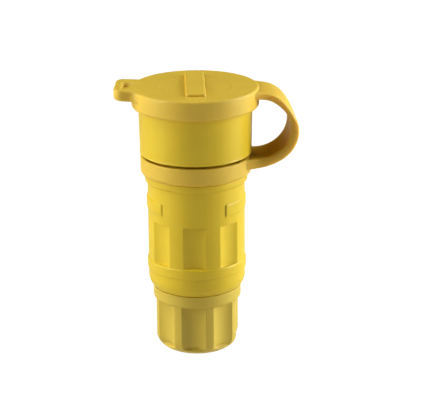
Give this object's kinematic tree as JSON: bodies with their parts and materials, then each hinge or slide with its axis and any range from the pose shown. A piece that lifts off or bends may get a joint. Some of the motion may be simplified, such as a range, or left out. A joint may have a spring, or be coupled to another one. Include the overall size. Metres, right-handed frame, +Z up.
{
  "type": "locking power connector",
  "caption": "Watertight locking power connector: fluted yellow grip, cup with a recessed contact face, closure cap on a flexible strap and a compression nut for the cord.",
  "frame": {"origin": "centre of the cord hole in the nut's base, on the connector's axis", "axes": "+Z up the connector's axis to the cap, +X to the strap's side, +Y away from the front"},
  "size_m": [0.0929, 0.0638, 0.1395],
  "materials": {
    "housing": "satin moulded elastomer",
    "nut": "matte moulded",
    "cap": "matte moulded elastomer",
    "insulator": "moulded nylon",
    "brass": "stamped",
    "steel": "plated",
    "seal": "matte",
    "washer": "moulded nylon"
  },
  "bodies": {
    "connector": {"housing": "housing", "cord_grommet": "seal", "front_insulator": "insulator", "rear_insulator": "insulator", "line_contact": "brass", "neutral_contact": "brass", "ground_contact": "brass", "line_clamp": "steel", "neutral_clamp": "steel", "ground_clamp": "steel", "terminal_screws": "steel", "assembly_screws": "steel", "threaded_inserts": "brass", "module_gasket": "seal", "mouth_seal": "seal", "cap_strap": "cap", "retaining_ring": "cap"},
    "washer": {"friction_washer": "washer"},
    "nut": {"compression_nut": "nut"},
    "cap": {"closure_cap": "cap"}
  },
  "joints": [
    {"name": "cap_swing", "type": "hinge", "parent": "connector", "child": "cap", "pos_m": [0.04725, 0.00206, 0.124], "axis": [-0.0436, 0.999, 0], "range_deg": [0, 120], "deforming": ["cap_strap"]},
    {"name": "nut_travel", "type": "slide", "parent": "connector", "child": "washer", "axis": [0, 0, -1], "range_m": [0, 0.0075]},
    {"name": "nut_turn", "type": "hinge", "parent": "washer", "child": "nut", "pos_m": [0, 0, 0], "axis": [0, 0, -1], "range_deg": [0, 1080]}
  ],
  "couplings": [
    {"joint": "nut_travel", "follows": "nut_turn", "m_per_rad": 0.0003978}
  ]
}
